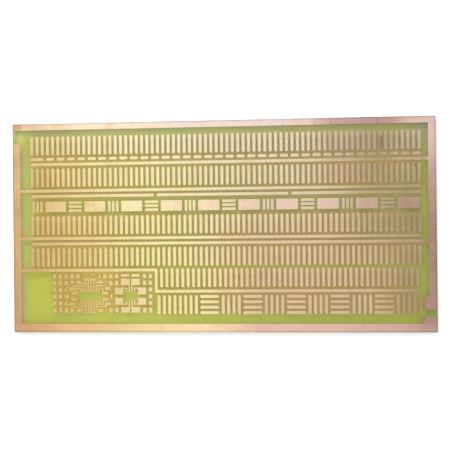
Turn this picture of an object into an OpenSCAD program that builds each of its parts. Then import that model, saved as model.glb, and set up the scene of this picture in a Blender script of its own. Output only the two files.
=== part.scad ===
// Bare single-sided prototyping board: a glass-epoxy laminate with bright etched copper on top.
// The board lies flat with its copper side up. The origin is at the centre of the underside.
// +X runs along the long side, and +Y runs towards the edge with the unbroken rail.

/* [Laminate and foil] */
// Thickness of the glass-epoxy laminate
laminate_t = 1.565; // [0.5:0.005:3.2]
// Thickness of the copper foil
foil_t = 0.035; // [0.018:0.001:0.21]

/* [Pad grid] */
// Spacing of the pad columns, which is also the unit of the whole pattern
pitch = 2.54; // [2:0.01:4]
// Number of pad columns in a full row
columns = 73; // [45:1:140]
// Length of an upright pad between the centres of its round ends, in pitches
pad_span = 3; // [2.5:0.1:5]
// Width of the pads, the dashes and the bus tracks
track_w = 1.4; // [0.8:0.05:1.8]

/* [Rails] */
// Width of the rail along the far edge
top_rail_w = 3.1; // [1:0.1:12]
// Width of the rail along the near edge
bottom_rail_w = 4; // [1:0.1:12]
// Width of the rail along the left edge
left_rail_w = 3.7; // [1:0.1:12]
// Width of the rail along the right edge
right_rail_w = 3.6; // [1:0.1:12]
// Bare laminate between the far rail and the upper pad centres
top_gap = 3.8; // [1.5:0.1:15]
// Bare laminate between the lowest pad centres and the near rail
bottom_gap = 5.3; // [1.5:0.1:15]
// Bare laminate between the left rail and the first column
left_gap = 5.8; // [1.5:0.1:15]
// Bare laminate between the last column and the right rail
right_gap = 4; // [3.6:0.1:15]
// Bare break in the left edge between the two rail combs
left_break = 6.4; // [1:0.1:15]
// Bare break in the right edge between the two rail combs
right_break = 3.3; // [1:0.1:6]
// How far the two contact tabs reach inwards from the right rail
tab_reach = 3; // [0.5:0.1:3]
// Length of the upper contact tab along the edge
tab_length = 6.3; // [2:0.1:8]

/* [Two-terminal component lands] */
// Height of the row of lands, in pitches
block_h = 2; // [2:0.25:4]
// Length of a wide land, in pitches
wide_land = 4; // [2:0.25:4]
// Width of one bar in a group of three, in pitches
bar_w = 0.5; // [0.3:0.05:0.6]
// Length of a level bar, in pitches
level_bar_l = 2.5; // [1.5:0.25:4]
// Bare laminate between neighbouring lands, in pitches
block_gap = 0.5; // [0.25:0.25:1.5]

/* [Chip lands] */
// Width of the narrow lead that a chip leg is soldered to
finger_w = 0.6; // [0.3:0.05:0.9]
// Clear distance between the two rows of chip leads, in pitches
chip_gap = 1.6; // [1:0.1:1.8]
// Column of the larger chip's centre
chip16_col = 10.875; // [10.5:0.125:11.25]
// Column of the smaller chip's centre
chip8_col = 18.625; // [18.5:0.125:18.75]
// Centre of the chips below the upper run of the last bus, in pitches
chip_drop = 4.9; // [4.5:0.1:5.2]
// Width of a fill land, in pitches
land_w = 0.65; // [0.4:0.01:0.8]
// Height of a fill land, in pitches
land_h = 0.79; // [0.4:0.01:0.9]
// Bare laminate between fill lands, in pitches
fill_gap = 0.47; // [0.3:0.01:0.5]
// Least distance from a chip lead to a fill land, in pitches
lead_clear = 0.2; // [0.1:0.05:0.4]

/* [Hidden] */
$fn = 48;
copper = "#dcae86";
glass_epoxy = "#a8b152";

// Columns count right from the first pad. Rows count down from the row of dashes.
last_col = columns - 1;
split_a = round(last_col / 3);
split_b = round(2 * last_col / 3);
row1_top = -1 - pad_span;
bus_a = 1;
row2_top = bus_a + 1;
bus_b = row2_top + pad_span + 1;
bus_c = bus_b + 1;
block_top = bus_c + 1;
row3_top = block_top + block_h + 1;
bus_d = row3_top + pad_span + 1;
bus_e = bus_d + 1;
row4_top = bus_e + 1;
row5_top = row4_top + pad_span + 1;
bus_f = row5_top + pad_span + 1;
row6_top = bus_f + 1;
row6_end = row6_top + pad_span;

// The outline is the pattern with its gaps and rails around it.
board_l = left_rail_w + left_gap + last_col * pitch + right_gap + right_rail_w;
board_w = top_rail_w + top_gap + (row6_end - row1_top) * pitch + bottom_gap + bottom_rail_w;
left_x = -board_l / 2;
right_x = board_l / 2;
far_y = board_w / 2;
near_y = -board_w / 2;
first_col_x = left_x + left_rail_w + left_gap;
dash_row_y = far_y - top_rail_w - top_gap + row1_top * pitch;
right_rail_x = right_x - right_rail_w;
tab_x = right_rail_x - tab_reach;

// A block holds three upright bars, a wide land, three level bars and a second wide land.
bar_step = (block_h - bar_w) / 2;
upright_bars_w = 2 * bar_step + bar_w;
wide_a = upright_bars_w + block_gap;
level_bars_at = wide_a + wide_land + block_gap;
wide_b = level_bars_at + level_bar_l + block_gap;
block_period = wide_b + wide_land + block_gap;
block_count = floor((last_col + block_gap) / block_period);

// The chip field lies left of the short pad rows, under the upper run of the last bus.
chip_row = row5_top + chip_drop;
field_top = row5_top + track_w / 2 / pitch + fill_gap;
field_end = row6_end;
link_col = 23.5;
short_row_col = link_col + 1;
lower_row_col = link_col + 0.5;

// Level stacks alternate with fours of upright pads along the lowest row.
group_step = 8;
group_pads = 4;
stack_l = group_pads - 1;
group_count = floor((last_col - lower_row_col) / group_step);

// Fill lands stand in three blocks of columns and rows. The last row runs on to the end of the field.
land_step = land_w + fill_gap;
land_row_step = land_h + fill_gap;
fill_row_last = 5;
left_fill_col = 3.82;
middle_fill_col = 13.45;
right_fill_col = 20.97;
// Widths of the odd fill lands that fit beside the leads, in pitches
narrow_fill_w = 0.35;
wide_fill_w = 0.85;
sliver_fill_w = 0.22;

// Half the width of a chip lead, in pitches
half_lead = finger_w / pitch / 2;
// Room kept around a lead, which is none where the lead itself is drawn
$room = 0;

// A quarter of each chip's fan-out, from the outermost lead inwards. A row holds a lead's leg, the height
// of its knee, its elbow and two corners of its land, in pitches out and up from the chip's centre.
chip16_fan = [
    [1.75, 1.5, 2.5, [2.5 - half_lead, 0.33], [3.52, 0.82]],
    [1.25, 2, 3, [3 - half_lead, 1.17], [3.95, 1.7]],
    [0.75, 2.5, 2, [1.6, 2.5 - half_lead], [2.57, 2.93]],
    [0.25, 3, 0.25, [0.25 - half_lead, 2.9], [1.15, 3.4]]
];
chip8_fan = [
    [0.75, 1.5, 1.6, [1.4, 0.3], [2.97, 1.5 + half_lead]],
    [0.25, 2.1, 0.25, [0.25 - half_lead, 2.03], [1.82, 3.28]]
];

chip16_leads = [for (n = [1:16]) str("chip16_lead_", n < 10 ? "0" : "", n)];
chip8_leads = [for (n = [1:8]) str("chip8_lead_", n)];
pad_rows = [for (n = [1:5]) str("pad_row_", n)];

// Place of a grid point in millimetres
function at(p) = [first_col_x + p.x * pitch, dash_row_y - p.y * pitch];

// Two corners in any order become the lowest corner and the size.
function low(a, b) = [min(a.x, b.x), min(a.y, b.y)];
function span(a, b) = [abs(a.x - b.x), abs(a.y - b.y)];

// Rectangle between two corners in millimetres
module rect(a, b) {
    translate(low(a, b)) square(span(a, b));
}

// Rectangle between two grid points
module land(from, to) {
    rect(at(from), at(to));
}

// Track with round ends between two grid points on one row or one column
module track(from, to) {
    half = track_w / 2;
    side = from.y == to.y ? [0, half] : [half, 0];
    a = low(at(from), at(to));
    b = a + span(at(from), at(to));
    rect(a - side, b + side);
    for (end = [a, b]) translate(end) circle(r = half);
}

// One upright pad on each column of a row
module pads(top, cols) {
    for (c = cols) track([c, top], [c, top + pad_span]);
}

// Raises an outline to the copper foil on top of the laminate
module foil() {
    translate([0, 0, laminate_t]) linear_extrude(foil_t) children();
}

module laminate() {
    color(glass_epoxy)
        translate([left_x, near_y, 0])
            cube([board_l, board_w, laminate_t]);
}

// Far and right rails in one piece, with two bus tracks and the upper contact tab
module rail_comb_far() {
    tab_top_y = at([0, row6_top]).y;
    tab_end_y = tab_top_y - tab_length;
    color(copper) foil() {
        rect([left_x, far_y], [right_x, far_y - top_rail_w]);
        rect([right_rail_x, far_y], [right_x, tab_end_y]);
        rect([tab_x, tab_top_y], [right_x, tab_end_y]);
        for (row = [bus_a, bus_e]) {
            track([0, row], [last_col, row]);
            rect(at([last_col, row]) + [0, track_w / 2], [right_rail_x, at([0, row]).y - track_w / 2]);
        }
    }
}

// Left and near rails in one piece, with three bus tracks and the lower contact tab
module rail_comb_near() {
    lower_tab_y = at([0, row6_top]).y - tab_length - right_break;
    left_rail_x = left_x + left_rail_w;
    color(copper) foil() {
        rect([left_x, far_y - top_rail_w - left_break], [left_rail_x, near_y]);
        rect([left_x, near_y], [right_x, near_y + bottom_rail_w]);
        rect([tab_x, lower_tab_y], [right_x, near_y]);
        for (row = [bus_b, bus_d, row5_top]) {
            rect([left_rail_x, at([0, row]).y - track_w / 2], at([0, row]) + [0, track_w / 2]);
        }
        track([0, bus_b], [last_col, bus_b]);
        track([0, bus_d], [last_col, bus_d]);
        track([0, row5_top], [link_col, row5_top]);
        track([link_col, row5_top], [link_col, bus_f]);
        track([link_col, bus_f], [last_col - 0.5, bus_f]);
    }
}

// Bus track that two breaks divide into thirds
module split_bus_left() {
    color(copper) foil() track([0, bus_c], [split_a - 1, bus_c]);
}

module split_bus_middle() {
    color(copper) foil() track([split_a, bus_c], [split_b, bus_c]);
}

module split_bus_right() {
    color(copper) foil() track([split_b + 1, bus_c], [last_col, bus_c]);
}

// Dashes that each join two neighbouring columns, with a longer first one
module dash_row() {
    color(copper) foil() {
        track([0, 0], [2, 0]);
        for (c = [3:2:last_col - 1]) track([c, 0], [c + 1, 0]);
    }
}

// The first four pad rows are full. The fifth starts beside the chip field, half a pitch over.
module pad_row(n) {
    tops = [row1_top, row2_top, row3_top, row4_top];
    color(copper) foil() {
        if (n <= 4) pads(tops[n - 1], [0:last_col]);
        else pads(row5_top, [short_row_col:last_col - 0.5]);
    }
}

module wide_lands() {
    color(copper) foil() {
        for (b = [0:block_count - 1], start = [wide_a, wide_b]) {
            x = b * block_period + start;
            land([x, block_top], [x + wide_land, block_top + block_h]);
        }
    }
}

module upright_bars() {
    color(copper) foil() {
        for (b = [0:block_count - 1], i = [0:2]) {
            x = b * block_period + i * bar_step;
            land([x, block_top], [x + bar_w, block_top + block_h]);
        }
    }
}

module level_bars() {
    color(copper) foil() {
        for (b = [0:block_count - 1], i = [0:2]) {
            x = b * block_period + level_bars_at;
            y = block_top + i * bar_step;
            land([x, y], [x + level_bar_l, y + bar_w]);
        }
    }
}

// A first four of upright pads, and one more four beside each level stack
module lower_pads_upright() {
    color(copper) foil() {
        pads(row6_top, [lower_row_col:lower_row_col + group_pads - 1]);
        for (g = [0:group_count - 1]) {
            start = lower_row_col + group_pads + g * group_step;
            pads(row6_top, [start:start + group_pads - 1]);
        }
    }
}

// Stacks of level pads, one pitch apart
module lower_pads_level() {
    color(copper) foil() {
        for (g = [1:group_count - 1], row = [0:floor(pad_span)]) {
            start = lower_row_col + g * group_step;
            track([start, row6_top + row], [start + stack_l, row6_top + row]);
        }
    }
}

// Fill lands of one row, at the given places in a block that starts at a column
module fill_row(start, row, places) {
    top = field_top + row * land_row_step;
    end = row == fill_row_last ? field_end : top + land_h;
    for (i = places) {
        x = start + i * land_step;
        land([x, top], [x + land_w, end]);
    }
}

// Odd fill land at a column, from one share of its row's height to another
module odd_land(col, width, row, from = 0, to = 1) {
    top = field_top + row * land_row_step;
    end = row == fill_row_last ? field_end : top + land_h;
    height = end - top;
    land([col, top + from * height], [col + width, top + to * height]);
}

// Fill lands left of the larger chip and over it, cut back around its leads
module fill_lands_left() {
    third = left_fill_col + 2 * land_step;
    fourth = third + land_step;
    color(copper) foil() clear_of_leads() {
        fill_row(left_fill_col, 0, [0:4]);
        fill_row(left_fill_col, 1, [0:2]);
        for (row = [2:4]) fill_row(left_fill_col, row, [0:1]);
        fill_row(left_fill_col, 5, [0:2]);
        odd_land(col = fourth, width = land_w, row = 1, to = 0.5);
        for (row = [2, 4]) odd_land(col = third, width = narrow_fill_w, row = row);
        odd_land(col = third, width = wide_fill_w, row = 3);
        odd_land(col = fourth, width = narrow_fill_w, row = 5);
        odd_land(col = fourth + narrow_fill_w, width = land_w - narrow_fill_w, row = 5, from = 0.4);
        for (out = [-1.12, 0.27]) {
            odd_land(col = chip16_col + out, width = wide_fill_w, row = 0, to = 0.27);
        }
    }
}

// Fill lands between the two chips
module fill_lands_middle() {
    color(copper) foil() clear_of_leads() {
        fill_row(middle_fill_col, 0, [0:2]);
        fill_row(middle_fill_col, 1, [1:2]);
        fill_row(middle_fill_col, 5, [1:2]);
        odd_land(col = middle_fill_col - 0.85, width = 0.32, row = 0);
        odd_land(col = middle_fill_col + 0.45, width = sliver_fill_w, row = 1);
        odd_land(col = middle_fill_col + 0.45, width = sliver_fill_w, row = 5, from = 0.45);
        odd_land(col = middle_fill_col + 1.37, width = 0.31, row = 3);
    }
}

// Fill lands over and right of the smaller chip
module fill_lands_right() {
    half_gap = 0.22;
    width = 1.54;
    color(copper) foil() clear_of_leads() {
        for (row = [0, 1, 5]) fill_row(right_fill_col, row, [0:1]);
        for (row = [2:4]) fill_row(right_fill_col, row, [1]);
        odd_land(col = chip8_col - half_gap - width, width = width, row = 0, to = 0.65);
        odd_land(col = chip8_col + half_gap, width = width, row = 0, to = 0.65);
    }
}

// Mirrors a lead drawn for the far left quarter of a chip, and trims it at the field's end
module place_lead(col, right, near) {
    field_top_y = at([0, row5_top]).y - track_w / 2;
    intersection() {
        translate(at([col, chip_row]))
            mirror([right ? 1 : 0, 0, 0])
                mirror([0, near ? 1 : 0, 0])
                    children();
        rect([left_x, field_top_y], [right_x, at([0, field_end]).y]);
    }
}

// Rectangle around a chip's centre, from a lower to a higher distance left and up in pitches
module lead_area(from, to) {
    a = [from.x - $room, from.y - $room] * pitch;
    b = [to.x + $room, to.y + $room] * pitch;
    rect([-a.x, a.y], [-b.x, b.y]);
}

// One lead: up from its leg to its knee, level to its elbow, and back down where its land lies lower
module lead(shape) {
    leg = shape[0];
    knee = shape[1];
    elbow = shape[2];
    land_from = shape[3];
    land_to = shape[4];
    lead_area([leg - half_lead, chip_gap / 2], [leg + half_lead, knee + half_lead]);
    lead_area([leg - half_lead, knee - half_lead], [elbow + half_lead, knee + half_lead]);
    lead_area([elbow - half_lead, min(land_from.y, knee)], [elbow + half_lead, knee]);
    lead_area(land_from, land_to);
}

// Leads count along the near side from the left, then back along the far side.
module chip_outline(fan, col, n) {
    side = 2 * len(fan);
    near = n <= side;
    place = near ? n - 1 : 2 * side - n;
    right = place >= len(fan);
    place_lead(col, right, near) lead(fan[right ? side - 1 - place : place]);
}

module chip16_lead(n) {
    color(copper) foil() chip_outline(chip16_fan, chip16_col, n);
}

module chip8_lead(n) {
    color(copper) foil() chip_outline(chip8_fan, chip8_col, n);
}

// Trims fill lands back to the least distance from every chip lead
module clear_of_leads() {
    difference() {
        union() children();
        for (n = [1:16]) chip_outline(chip16_fan, chip16_col, n, $room = lead_clear);
        for (n = [1:8]) chip_outline(chip8_fan, chip8_col, n, $room = lead_clear);
    }
}

laminate();
rail_comb_far();
rail_comb_near();
split_bus_left();
split_bus_middle();
split_bus_right();
dash_row();
for (n = [1:5]) pad_row(n);
wide_lands();
upright_bars();
level_bars();
lower_pads_upright();
lower_pads_level();
fill_lands_left();
fill_lands_middle();
fill_lands_right();
for (n = [1:16]) chip16_lead(n);
for (n = [1:8]) chip8_lead(n);
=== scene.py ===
"""Looks of the bare circuit board: its laminate, its bare copper, and the studio around it."""

import math

import bpy
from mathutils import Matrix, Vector


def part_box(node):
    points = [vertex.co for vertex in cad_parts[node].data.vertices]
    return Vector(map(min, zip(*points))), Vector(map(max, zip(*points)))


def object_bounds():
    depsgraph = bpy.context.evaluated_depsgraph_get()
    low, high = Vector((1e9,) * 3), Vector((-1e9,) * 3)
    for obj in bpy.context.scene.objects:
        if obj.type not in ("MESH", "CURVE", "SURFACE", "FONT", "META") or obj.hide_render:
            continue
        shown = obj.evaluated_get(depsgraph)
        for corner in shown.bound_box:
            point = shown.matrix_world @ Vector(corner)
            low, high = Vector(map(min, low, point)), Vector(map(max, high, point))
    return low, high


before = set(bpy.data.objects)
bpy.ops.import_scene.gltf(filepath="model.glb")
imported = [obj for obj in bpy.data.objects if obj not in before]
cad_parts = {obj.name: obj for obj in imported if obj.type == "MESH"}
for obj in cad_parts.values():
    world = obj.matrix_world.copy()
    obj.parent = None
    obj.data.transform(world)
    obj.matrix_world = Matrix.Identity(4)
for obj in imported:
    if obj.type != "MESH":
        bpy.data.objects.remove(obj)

CAD_LOW, CAD_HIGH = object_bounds()
MM = 0.001

# Camera: almost straight down, a little to the right of the middle
CAMERA_PLACE = Vector((20.4, -0.15, 283.75)) * MM
CAMERA_TURN = (0.0056, 3.6014, -0.597)  # degrees about X, Y and Z
SENSOR_WIDTH = 36.0
LENS = 47.8

# Strength of the sky by the height of its direction: bright at the horizon and midway up,
# dim between the two and overhead
SKY = [(0.00, 1.56), (0.04, 1.56), (0.13, 0.80), (0.27, 0.80), (0.40, 1.56), (0.55, 1.56), (0.90, 0.38)]
# Lights: name, place, point that it faces, width and length (all in metres), power in watts
SOFT_BOXES = [
    ("key", (-0.70, 1.39, 0.90), (0.0, 0.0, 0.0), (0.50, 0.50), 25.0),
    ("glow", (-0.045, 0.05, 0.70), (-0.045, 0.05, 0.0), (0.34, 0.90), 1.0),
]
FLOOR_SIZE = 3.0
# The floor lies this far under the board
FLOOR_GAP = 0.1 * MM

# Groups of copper nodes that look alike
RAILS = ("rail_comb_far", "rail_comb_near")
LANDS = ("wide_lands", "fill_lands", "chip")
# The rails reach this far in from the outline
RAIL_REACH = 5.0 * MM
# Corners of a box around the two contact tabs, which are coloured as the right rail is
TAB_LOW = (92.4, -60.0)
TAB_HIGH = (110.0, -34.8)

# Colour of the copper along the far edge and along the near edge, from the left end to the right: partly
# its own tone and partly painted light, paler where highlights fall and darker and pinker where the
# light falls off
FAR_COLOR_AND_LIGHT = [
    (0.00, (0.90, 0.60, 0.36)),
    (0.10, (0.99, 0.79, 0.56)),
    (0.25, (0.91, 0.76, 0.61)),
    (0.45, (0.74, 0.605, 0.53)),
    (0.66, (0.79, 0.645, 0.58)),
    (0.85, (0.76, 0.55, 0.50)),
    (1.00, (1.08, 0.80, 0.74)),
]
NEAR_COLOR_AND_LIGHT = [
    (0.00, (0.79, 0.49, 0.27)),
    (0.10, (0.92, 0.59, 0.285)),
    (0.35, (0.89, 0.71, 0.36)),
    (0.47, (0.87, 0.68, 0.42)),
    (0.60, (0.73, 0.49, 0.40)),
    (0.85, (0.85, 0.575, 0.48)),
    (1.00, (0.78, 0.50, 0.44)),
]

# Further tint of the pads, bars and bus tracks, and of the lands and chip leads, from left to right
TRACK_TINTS = [
    (0.00, (0.88, 1.03, 0.81)),
    (0.12, (0.93, 1.05, 0.86)),
    (0.30, (0.98, 1.10, 0.96)),
    (0.50, (0.92, 1.02, 0.84)),
    (0.80, (0.91, 1.04, 0.82)),
    (1.00, (0.90, 1.06, 0.76)),
]
LAND_TINTS = [
    (0.00, (0.95, 0.97, 0.79)),
    (0.12, (0.96, 0.99, 0.80)),
    (0.22, (1.01, 1.12, 0.95)),
    (0.30, (1.07, 1.14, 1.07)),
    (0.40, (0.99, 1.01, 0.97)),
    (0.55, (0.94, 0.96, 0.87)),
    (0.75, (1.00, 1.02, 0.95)),
    (1.00, (1.00, 1.03, 0.92)),
]

# Dark streaks that run across the board: place along X and half width in millimetres, strength
STREAKS = [
    (-96.5, 0.8, 0.25),
    (29.9, 0.4, 0.18),
    (44.5, 0.4, 0.28),
    (52.0, 0.4, 0.55),
    (68.0, 0.4, 0.32),
    (73.8, 0.5, 0.50),
    (98.9, 0.4, 0.25),
]
STREAK_TINT = (0.42, 0.30, 0.28)
# The streaks wander this far to each side
STREAK_WANDER = 1.2 * MM
# Colour of the copper's etched walls
COPPER_WALL = (0.48, 0.25, 0.14)

# Glass cloth in the laminate: spacing of the yarns along X and along Y
WARP = 0.58 * MM
WEFT = 0.79 * MM
# One ply of cloth, seen as a line on the cut edges
PLY = 0.2 * MM
# Clouded colours of the laminate, the colour between its yarns, the tint of the light that
# comes through it, and the colours of its cut edges
LAMINATE_SHADES = ((0.462, 0.477, 0.071), (0.505, 0.510, 0.084))
BETWEEN_YARNS = (0.24, 0.25, 0.05)
SHINE_THROUGH = (0.94, 0.96, 0.70, 1.0)
CUT_SHADES = ((0.25, 0.25, 0.08), (0.44, 0.43, 0.19))

# Painted shade on the laminate between the tracks, browner, from left to right
GAP_SHADE_TINTS = [
    (0.00, (1.54, 0.82, 1.10)),
    (0.12, (1.37, 0.77, 1.12)),
    (0.25, (1.12, 0.71, 1.20)),
    (0.50, (1.07, 0.63, 1.55)),
    (0.75, (1.21, 0.63, 1.95)),
    (1.00, (1.20, 0.65, 1.90)),
]
# The two narrow gaps between neighbouring bus tracks lie this far to each side of a line along X
TIGHT_GAPS_MIDDLE = 5.0 * MM
TIGHT_GAPS_REACH = 11.45 * MM
# Start of the names of each chip's leads, and half the width along X of the bare place between them
CHIPS = [("chip16_lead_", 4.6 * MM), ("chip8_lead_", 2.4 * MM)]

# Places at the left where the laminate is given another tone: low corner, high corner and soft edge
# in millimetres, tint
LEFT_TINTS = [
    # Open laminate beside the chip field
    ((-92.5, -46.0), (-82.0, -20.0), 2.0, (1.18, 1.13, 0.60)),
    # The strip between it and the left rail
    ((-98.0, -50.0), (-92.8, -22.5), 2.0, (0.92, 1.10, 1.38)),
    # The break between the left and the far rail
    ((-102.0, 40.5), (-94.5, 47.5), 2.0, (0.85, 1.29, 0.77)),
    # The far left corner inside the rails
    ((-96.5, 36.0), (-89.0, 60.0), 3.0, (1.07, 1.15, 0.75)),
]


def fill_ramp(node, stops):
    """Gives a colour ramp its stops, each a place and a colour."""
    elements = node.color_ramp.elements
    while len(elements) < len(stops):
        elements.new(0.5)
    for element, (at, color) in zip(elements, stops):
        element.position = at
        element.color = color


class Nodes:
    """Short calls that add shader nodes to one material and link them."""

    def __init__(self, name):
        self.material = bpy.data.materials.new(name)
        self.material.use_nodes = True
        self.tree = self.material.node_tree
        self.tree.nodes.clear()
        self.place = self.add("TexCoord").outputs["Object"]
        self.x, self.y, self.z = self.axes(self.place)
        self.normal = self.add("NewGeometry").outputs["Normal"]
        self.upright = self.math("ABSOLUTE", self.axes(self.normal)[2])

    def add(self, kind, inputs=None, **settings):
        node = self.tree.nodes.new("ShaderNode" + kind)
        for key, value in settings.items():
            setattr(node, key, value)
        for key, value in (inputs or {}).items():
            self.feed(node.inputs[key], value)
        return node

    def feed(self, socket, value):
        if isinstance(value, bpy.types.NodeSocket):
            self.tree.links.new(value, socket)
        else:
            socket.default_value = value

    def math(self, operation, *values):
        return self.add("Math", dict(enumerate(values)), operation=operation).outputs[0]

    def axes(self, vector):
        return self.add("SeparateXYZ", {0: vector}).outputs[:3]

    def scaled(self, scale, turn=0.0):
        inputs = {"Vector": self.place, "Rotation": (0.0, 0.0, turn), "Scale": scale}
        return self.add("Mapping", inputs).outputs[0]

    def noise(self, scale, vector=None, detail=2.0, roughness=0.5):
        inputs = {"Scale": scale, "Detail": detail, "Roughness": roughness}
        inputs["Vector"] = vector or self.place
        return self.add("TexNoise", inputs).outputs["Fac"]

    def ramp(self, factor, stops):
        node = self.add("ValToRGB", {0: factor})
        fill_ramp(node, [(at, (*color, 1.0)) for at, color in stops])
        return node.outputs["Color"]

    def mix(self, factor, a, b, blend="MIX"):
        node = self.add("Mix", data_type="RGBA", blend_type=blend, clamp_factor=True)
        for index, value in ((0, factor), (6, a), (7, b)):
            self.feed(node.inputs[index], (*value, 1.0) if isinstance(value, tuple) else value)
        return node.outputs[2]

    def multiply_by(self, color, factor, tint):
        """Multiplies a colour by a tint where the factor is one."""
        return self.mix(factor, color, tint, "MULTIPLY")

    def product(self, *values):
        result = values[0]
        for value in values[1:]:
            result = self.math("MULTIPLY", result, value)
        return result

    def opposite(self, factor):
        """Zero where the factor is one, and one where it is zero."""
        return self.math("SUBTRACT", 1.0, factor)

    def off(self, value, middle):
        """How far a value is from a middle, to either side."""
        return self.math("ABSOLUTE", self.math("SUBTRACT", value, middle))

    def level(self, value, low, high, to_low=0.0, to_high=1.0):
        inputs = {0: value, 1: low, 2: high, 3: to_low, 4: to_high}
        return self.add("MapRange", inputs, clamp=True).outputs[0]

    def over_x(self, start, end, before=0.0, after=1.0):
        """Goes from one value to another between two places along X, in millimetres."""
        return self.level(self.x, start * MM, end * MM, before, after)

    def over_y(self, start, end, before=0.0, after=1.0):
        """Goes from one value to another between two places along Y, in millimetres."""
        return self.level(self.y, start * MM, end * MM, before, after)

    def inside(self, low, high, fade):
        """One inside a box seen from above, and zero outside, across a soft edge."""
        sides = []
        for value, start, end in ((self.x, low.x, high.x), (self.y, low.y, high.y)):
            sides.append(self.level(value, start - fade / 2, start + fade / 2))
            sides.append(self.level(value, end + fade / 2, end - fade / 2))
        return self.product(*sides)

    def area(self, low, high, fade):
        """The same from corners and a soft edge in millimetres."""
        return self.inside(Vector(low) * MM, Vector(high) * MM, fade * MM)

    def near(self, x, y, radius, fade):
        """One within a radius of a point seen from above, and zero outside."""
        across = self.math("SUBTRACT", self.x, x)
        along = self.math("SUBTRACT", self.y, y)
        squares = self.math("ADD", self.product(across, across), self.product(along, along))
        return self.level(self.math("SQRT", squares), radius + fade, radius)

    def bump(self, height, distance):
        return self.add("Bump", {"Height": height, "Distance": distance}).outputs[0]

    def finish(self, shader):
        output = self.add("OutputMaterial")
        self.feed(output.inputs[0], shader)
        return self.material


def grey(value):
    return (value, value, value, 1.0)


def inset(distance):
    """Corners of the board's outline, moved inwards by a distance."""
    step = Vector((distance, distance, 0.0))
    return CAD_LOW + step, CAD_HIGH - step


def streak_strength(n):
    """Dark streaks across the board, clear at the far edge and faint elsewhere."""
    wander = n.math("MULTIPLY_ADD", n.noise(30.0), 2 * STREAK_WANDER, n.x)
    wander = n.math("SUBTRACT", wander, STREAK_WANDER)
    total = 0.0
    for place, half_width, strength in STREAKS:
        line = n.level(n.off(wander, place * MM), 0.0, half_width * MM, strength, 0.0)
        total = n.math("ADD", line, total)
    return n.product(total, n.over_y(20.0, 46.0, 0.08, 1.0))


def tarnish(n, color, brushed):
    """Wide clouds, warm blotches, specks, brush marks, scratches, streaks and one warm band."""
    clouds = n.level(n.noise(22.0, detail=3.0), 0.42, 0.66)
    color = n.multiply_by(color, n.product(clouds, 0.35), (0.94, 0.88, 0.82))
    blotches = n.level(n.noise(110.0, detail=4.0, roughness=0.6), 0.52, 0.72)
    color = n.multiply_by(color, n.product(blotches, 0.6), (0.96, 0.84, 0.70))
    specks = n.level(n.noise(520.0, detail=4.0, roughness=0.6), 0.50, 0.70)
    color = n.multiply_by(color, n.product(specks, 0.6), (0.90, 0.83, 0.77))
    color = n.multiply_by(color, n.level(brushed, 0.50, 0.75, 0.0, 0.6), (0.90, 0.84, 0.80))
    scratches = n.noise(1.0, n.scaled((2600.0, 45.0, 1.0), turn=0.5), detail=2.0)
    color = n.multiply_by(color, n.level(scratches, 0.66, 0.72, 0.0, 0.5), (0.80, 0.72, 0.68))
    color = n.multiply_by(color, streak_strength(n), STREAK_TINT)
    band = n.level(n.off(n.x, -53.0 * MM), 2.2 * MM, 0.5 * MM)
    band = n.product(band, n.over_y(25.0, 46.0, 0.2, 1.0))
    return n.multiply_by(color, band, (0.95, 0.87, 0.74))


def darker_places(n, color, between, tabs):
    """Patches and rails that are darker than the rest, or yellower; the darker ones toward the right are
    painted shade, where the light falls off.

    Between is one between the rails, and tabs is one on the contact tabs.
    """
    # Painted shade on a length of the far rail and on the rows near the far right corner
    patch = n.product(n.over_x(42.0, 54.0), n.over_x(88.0, 80.0), n.over_y(43.5, 46.0))
    color = n.multiply_by(color, patch, (0.80, 0.71, 0.70))
    color = n.multiply_by(color, n.area((48.0, 19.0), (80.0, 45.0), 8.0), (0.93, 0.88, 0.88))

    # Painted shade on the far right part of the rows and on their right ends, a little less in the last
    # column
    shade = n.product(between, n.over_x(56.0, 68.0), n.over_y(-8.0, 2.0))
    color = n.multiply_by(color, shade, (0.84, 0.84, 0.80))
    last_column = n.over_x(91.3, 91.0, 0.8, 1.0)
    end_shade = n.product(between, n.over_x(70.0, 86.0), n.over_y(44.0, 10.0))
    color = n.multiply_by(color, n.product(end_shade, last_column), (0.80, 0.79, 0.74))

    # Painted shade on the right rail with the contact tabs, and the ripples rubbed into its middle
    far_end = n.over_y(46.0, 8.0)
    near_end = n.product(n.over_y(-50.0, -44.0, 0.3, 1.0), n.over_y(-52.0, -14.0, 0.55, 1.0))
    flush = n.math("MAXIMUM", n.over_x(92.0, 95.0), tabs)
    color = n.multiply_by(color, n.product(flush, far_end, near_end), (0.67, 0.655, 0.61))
    ripples = n.level(n.noise(1.0, n.scaled((160.0, 1100.0, 1.0)), detail=2.0), 0.52, 0.66)
    rubbing = n.product(n.over_x(95.5, 97.0), n.over_y(-32.0, -12.0), n.over_y(14.0, -2.0))
    color = n.multiply_by(color, n.product(rubbing, ripples), (0.82, 0.72, 0.84))

    # The left rail, only a little yellower
    left_rail = n.product(n.over_x(-95.0, -96.5), n.over_y(-38.0, -20.0))
    return n.multiply_by(color, left_rail, (0.98, 0.99, 0.84))


def pad_wear(n, color):
    """A tarnished blotch on the pads, a dull group, and a pad rubbed half away."""
    blotch = n.near(-68.0 * MM, -9.0 * MM, 4.0 * MM, 10.0 * MM)
    color = n.multiply_by(color, blotch, (0.87, 0.93, 0.85))
    color = n.multiply_by(color, n.area((-94.0, 18.0), (-79.0, 29.0), 4.0), (0.93, 0.94, 0.88))
    return n.multiply_by(color, n.area((74.4, 34.5), (75.8, 41.3), 0.5), (0.66, 0.64, 0.55))


def land_wear(n, color):
    """The duller lands and leads of the chip field, and the yellower ones at its left end."""
    chip_field = n.over_y(-16.0, -20.0)
    dull = n.product(chip_field, n.over_x(-84.0, -62.0, 0.4, 1.0))
    color = n.multiply_by(color, dull, (0.87, 0.89, 0.93))
    yellow = n.product(chip_field, n.over_x(-71.0, -80.0))
    return n.multiply_by(color, yellow, (0.97, 1.14, 1.08))


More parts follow.
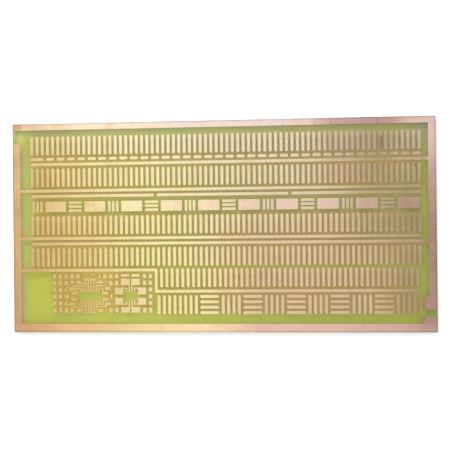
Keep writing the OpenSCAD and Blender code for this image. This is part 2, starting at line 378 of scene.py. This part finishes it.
def copper_material(name, tints, wear=None, tracks_only=False):
    """Bare etched copper. With tracks_only, the tints hold only for the bus tracks between the rails."""
    n = Nodes(name)
    between = n.inside(*inset(RAIL_REACH), 1.0 * MM)
    tabs = n.area(TAB_LOW, TAB_HIGH, 0.6)
    tracks = n.product(between, n.opposite(tabs))
    along = n.level(n.x, CAD_LOW.x, CAD_HIGH.x)
    across = n.math("POWER", n.level(n.y, CAD_LOW.y, CAD_HIGH.y), 1.5)
    # Painted light in the copper's colour: the two edge ramps carry painted highlights and fall-off of
    # light along with its own tone
    color = n.mix(across, n.ramp(along, NEAR_COLOR_AND_LIGHT), n.ramp(along, FAR_COLOR_AND_LIGHT))
    color = n.multiply_by(color, tracks if tracks_only else 1.0, n.ramp(along, tints))
    brushed = n.noise(1.0, n.scaled((1500.0, 25.0, 1.0)), detail=4.0, roughness=0.6)
    color = tarnish(n, color, brushed)
    color = darker_places(n, color, between, tabs)
    if wear:
        color = wear(n, color)

    # A darker band along the outline, a darker far left corner, and a dark spot at the right
    outline = n.opposite(n.inside(*inset(0.5 * MM), 1.0 * MM))
    color = n.multiply_by(color, n.product(outline, 0.8), (0.50, 0.56, 0.64))
    corner = n.near(CAD_LOW.x, CAD_HIGH.y, 1.0 * MM, 5.0 * MM)
    color = n.multiply_by(color, corner, (0.80, 0.78, 0.80))
    spot = n.near(90.3 * MM, 27.3 * MM, 0.3 * MM, 0.4 * MM)
    color = n.multiply_by(color, spot, (0.35, 0.30, 0.30))

    # Etched rims, and the walls under them
    rounded = n.add("Bevel", {"Radius": 0.12 * MM}, samples=4).outputs[0]
    match = n.add("VectorMath", {0: rounded, 1: n.normal}, operation="DOT_PRODUCT").outputs["Value"]
    color = n.multiply_by(color, n.product(n.level(match, 0.97, 0.75), 0.7), (0.72, 0.60, 0.56))
    color = n.mix(n.level(n.upright, 0.7, 0.3), color, COPPER_WALL)

    grain = n.noise(2500.0, detail=3.0, roughness=0.6)
    smudges = n.noise(70.0, detail=4.0, roughness=0.65)
    gloss = n.math("MULTIPLY_ADD", brushed, 0.10, n.level(smudges, 0.35, 0.70, 0.32, 0.39))
    normal = n.bump(n.math("MULTIPLY_ADD", brushed, 0.6, grain), 0.003 * MM)
    look = {"Base Color": color, "Metallic": 1.0, "Roughness": gloss, "Normal": normal}
    return n.finish(n.add("BsdfPrincipled", look).outputs[0])


def cloth(n):
    """Height of a plain weave, from the crowns of its yarns where they pass over one another."""
    warp = n.math("SINE", n.math("MULTIPLY", n.x, math.pi / WARP))
    weft = n.math("SINE", n.math("MULTIPLY", n.y, math.pi / WEFT))
    over = n.level(n.product(warp, weft), -0.25, 0.25)
    warp_crowns = n.product(over, n.math("ABSOLUTE", warp))
    weft_crowns = n.product(n.opposite(over), n.math("ABSOLUTE", weft))
    return n.math("ADD", warp_crowns, weft_crowns)


def pattern(n, fade):
    """One over the rows of pads and tracks and a strip below row 4, and zero over the rest."""
    row_low, row_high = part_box("pad_row_4")
    full_rows = n.inside(row_low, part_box("pad_row_1")[1], fade)
    short_low, short_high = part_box("pad_row_5")
    short_rows = n.inside(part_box("lower_pads_upright")[0], short_high, fade)
    under_row = Vector((row_low.x, row_low.y - 2.5 * MM))
    left_rows = n.inside(under_row, Vector((short_low.x, row_high.y)), fade)
    return n.math("MAXIMUM", full_rows, n.math("MAXIMUM", short_rows, left_rows))


def chip_edge(n, prefix, half_width):
    """Zero at the middle of a chip's place and one from its leads outwards."""
    boxes = [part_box(name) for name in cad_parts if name.startswith(prefix)]
    middle = sum((low + high for low, high in boxes), Vector()) / (2 * len(boxes))
    away = n.level(n.off(n.y, middle.y), 1.4 * MM, 2.6 * MM)
    aside = n.level(n.off(n.x, middle.x), half_width, half_width + 2.5 * MM)
    return n.math("MAXIMUM", away, aside)


def shade_in_gaps(n, color):
    """Painted shade, mostly browner and darker, on the laminate in the narrow gaps that the etching
    left: rows, wide lands, chip field.
    """
    shade_tint = n.ramp(n.level(n.x, CAD_LOW.x, CAD_HIGH.x), GAP_SHADE_TINTS)
    rows = pattern(n, 1.2 * MM)
    color = n.multiply_by(color, rows, shade_tint)
    off = n.off(n.off(n.y, TIGHT_GAPS_MIDDLE), TIGHT_GAPS_REACH)
    color = n.multiply_by(color, n.product(rows, n.level(off, 1.2 * MM, 0.5 * MM)), (0.86, 0.79, 1.0))
    margin = Vector((1.3, 1.3, 0.0)) * MM
    block_low, block_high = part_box("wide_lands")
    block = n.inside(block_low - margin, block_high + margin, 0.8 * MM)
    color = n.multiply_by(color, block, (0.80, 1.12, 1.0))
    field_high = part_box("fill_lands_right")[1] + Vector((1.2, 0.8, 0.0)) * MM
    field = n.inside(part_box("fill_lands_left")[0], field_high, 0.8 * MM)
    for prefix, half_width in CHIPS:
        field = n.product(field, chip_edge(n, prefix, half_width))
    color = n.multiply_by(color, field, (1.36, 0.84, 0.95))
    return n.multiply_by(color, n.product(field, n.over_x(-60.0, -50.0)), (0.86, 0.88, 1.0))


def open_strips(n, color):
    """Other tones of the laminate beside the rails and in the open places at the left, with painted
    shade beside the far and near rails and painted light next to the left rail.
    """
    # Painted shade beside the far and near rails
    beside = n.level(n.math("ABSOLUTE", n.y), CAD_HIGH.y - 5.7 * MM, CAD_HIGH.y - 3.5 * MM)
    color = n.multiply_by(color, beside, (0.97, 0.84, 1.15))
    # Painted light: brighter and bluer next to the left rail, lifting its shade there
    color = n.multiply_by(color, n.over_x(-93.2, -96.0), (1.66, 1.14, 2.40))
    left_strip = n.product(n.over_x(-89.0, -92.0), n.over_y(-20.0, -12.0), n.over_y(36.0, 26.0))
    color = n.multiply_by(color, left_strip, (0.97, 1.14, 1.50))
    for low, high, fade, tint in LEFT_TINTS:
        color = n.multiply_by(color, n.area(low, high, fade), tint)
    right_strip = n.product(n.over_x(91.5, 93.5), n.over_y(4.0, -6.0))
    color = n.multiply_by(color, right_strip, (0.88, 1.10, 0.85))
    right_far = n.product(n.over_x(90.5, 92.5), n.over_y(30.0, 40.0))
    color = n.multiply_by(color, right_far, (1.03, 1.08, 1.80))
    far_strip = n.product(n.over_y(42.6, 44.0), n.over_x(40.0, 60.0, 1.0, 0.4))
    far_strip = n.product(far_strip, n.over_x(-97.0, -92.0, 0.35, 1.0))
    color = n.multiply_by(color, far_strip, (1.15, 1.28, 1.38))
    near_strip = n.product(n.over_y(-40.0, -42.5), n.over_x(0.0, 40.0))
    return n.multiply_by(color, near_strip, (0.86, 0.92, 0.72))


def laminate_material():
    """Green glass epoxy that lets about three fifths of the light through, with its weave in view."""
    n = Nodes("laminate")
    weave = cloth(n)
    clouds = n.noise(35.0, detail=4.0, roughness=0.6)
    color = n.mix(n.level(clouds, 0.35, 0.65), *LAMINATE_SHADES)
    # Painted shade: the laminate darker toward the right, where the light falls off
    color = n.multiply_by(color, n.over_x(-40.0, 65.0), (0.74, 0.72, 0.80))
    color = n.multiply_by(color, n.over_x(-55.0, -85.0), (0.78, 0.76, 0.86))
    # More painted shade at the right end
    color = n.multiply_by(color, n.over_x(86.0, 94.0), (0.78, 0.72, 0.95))
    # Painted shade: greyer and bluer toward the far edge
    color = n.multiply_by(color, n.over_y(28.0, 46.0), (0.86, 0.82, 1.85))
    # Painted shade between the copper
    color = shade_in_gaps(n, color)
    color = open_strips(n, color)
    color = n.mix(n.level(weave, 0.2, 1.0, 0.32, 0.0), color, BETWEEN_YARNS)
    flecks = n.add("TexVoronoi", {"Vector": n.place, "Scale": 260.0}).outputs["Distance"]
    color = n.multiply_by(color, n.level(flecks, 0.05, 0.02, 0.0, 0.5), (0.55, 0.42, 0.30))

    # Cut edges: pale torn fibres in plies
    cut = n.level(n.upright, 0.7, 0.3)
    plies = n.math("ABSOLUTE", n.math("SINE", n.math("MULTIPLY", n.z, math.pi / PLY)))
    fibres = n.noise(1.0, n.scaled((4000.0, 4000.0, 9000.0)), detail=3.0)
    edge_color = n.mix(plies, *CUT_SHADES)
    edge_color = n.multiply_by(edge_color, n.level(fibres, 0.4, 0.7), (0.72, 0.70, 0.60))
    color = n.mix(cut, color, edge_color)

    grain = n.noise(1800.0, detail=3.0, roughness=0.6)
    normal = n.bump(n.math("MULTIPLY_ADD", grain, 0.5, weave), 0.008 * MM)
    gloss = n.level(n.noise(60.0, detail=3.0), 0.3, 0.7, 0.30, 0.44)
    gloss = n.math("MULTIPLY_ADD", cut, 0.3, gloss)
    body = n.add("BsdfPrincipled", {"Base Color": color, "Roughness": gloss, "Normal": normal})
    clear = n.add("BsdfTransparent", {"Color": SHINE_THROUGH})
    see_through = n.level(weave, 0.0, 1.0, 0.67, 0.58)
    see_through = n.product(see_through, n.level(cut, 0.0, 1.0, 1.0, 0.16))
    shader = n.add("MixShader", {0: see_through, 1: body.outputs[0], 2: clear.outputs[0]})
    return n.finish(shader.outputs[0])


def floor_material():
    n = Nodes("floor")
    shader = n.add("BsdfPrincipled", {"Base Color": grey(1.0), "Roughness": 0.9})
    return n.finish(shader.outputs[0])


def dress():
    """Gives every CAD node its material."""
    rails = copper_material("copper_rails", TRACK_TINTS, tracks_only=True)
    lands = copper_material("copper_lands", LAND_TINTS, land_wear)
    pads = copper_material("copper_pads", TRACK_TINTS, pad_wear)
    laminate = laminate_material()
    for name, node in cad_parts.items():
        if name == "laminate":
            material = laminate
        elif name in RAILS:
            material = rails
        elif name.startswith(LANDS):
            material = lands
        else:
            material = pads
        for slot in node.material_slots:
            slot.material = material


def build_floor():
    bpy.ops.mesh.primitive_plane_add(size=FLOOR_SIZE, location=(0, 0, CAD_LOW.z - FLOOR_GAP))
    floor = bpy.context.object
    floor.name = "floor"
    floor.data.materials.append(floor_material())


def soft_box(name, place, target, size, power):
    data = bpy.data.lights.new(name, "AREA")
    data.shape = "RECTANGLE"
    data.size, data.size_y = size
    data.energy = power
    light = bpy.data.objects.new(name, data)
    light.location = place
    light.rotation_euler = (Vector(target) - Vector(place)).to_track_quat("-Z", "Y").to_euler()
    bpy.context.collection.objects.link(light)


def light_sky():
    world = bpy.data.worlds.new("studio")
    world.use_nodes = True
    nodes = world.node_tree.nodes
    links = world.node_tree.links
    place = nodes.new("ShaderNodeTexCoord")
    split = nodes.new("ShaderNodeSeparateXYZ")
    strength = nodes.new("ShaderNodeValToRGB")
    strength.color_ramp.interpolation = "EASE"
    fill_ramp(strength, [(height, grey(value)) for height, value in SKY])
    links.new(place.outputs["Generated"], split.inputs[0])
    links.new(split.outputs["Z"], strength.inputs[0])
    links.new(strength.outputs["Color"], nodes["Background"].inputs["Strength"])
    nodes["Background"].inputs["Color"].default_value = grey(1.0)
    bpy.context.scene.world = world


def place_camera():
    data = bpy.data.cameras.new("camera")
    data.sensor_width = SENSOR_WIDTH
    data.lens = LENS
    camera = bpy.data.objects.new("camera", data)
    camera.location = CAMERA_PLACE
    camera.rotation_euler = [math.radians(turn) for turn in CAMERA_TURN]
    bpy.context.collection.objects.link(camera)
    bpy.context.scene.camera = camera


dress()
build_floor()
light_sky()
for light in SOFT_BOXES:
    soft_box(*light)
place_camera()
bpy.context.scene.view_settings.view_transform = "Standard"
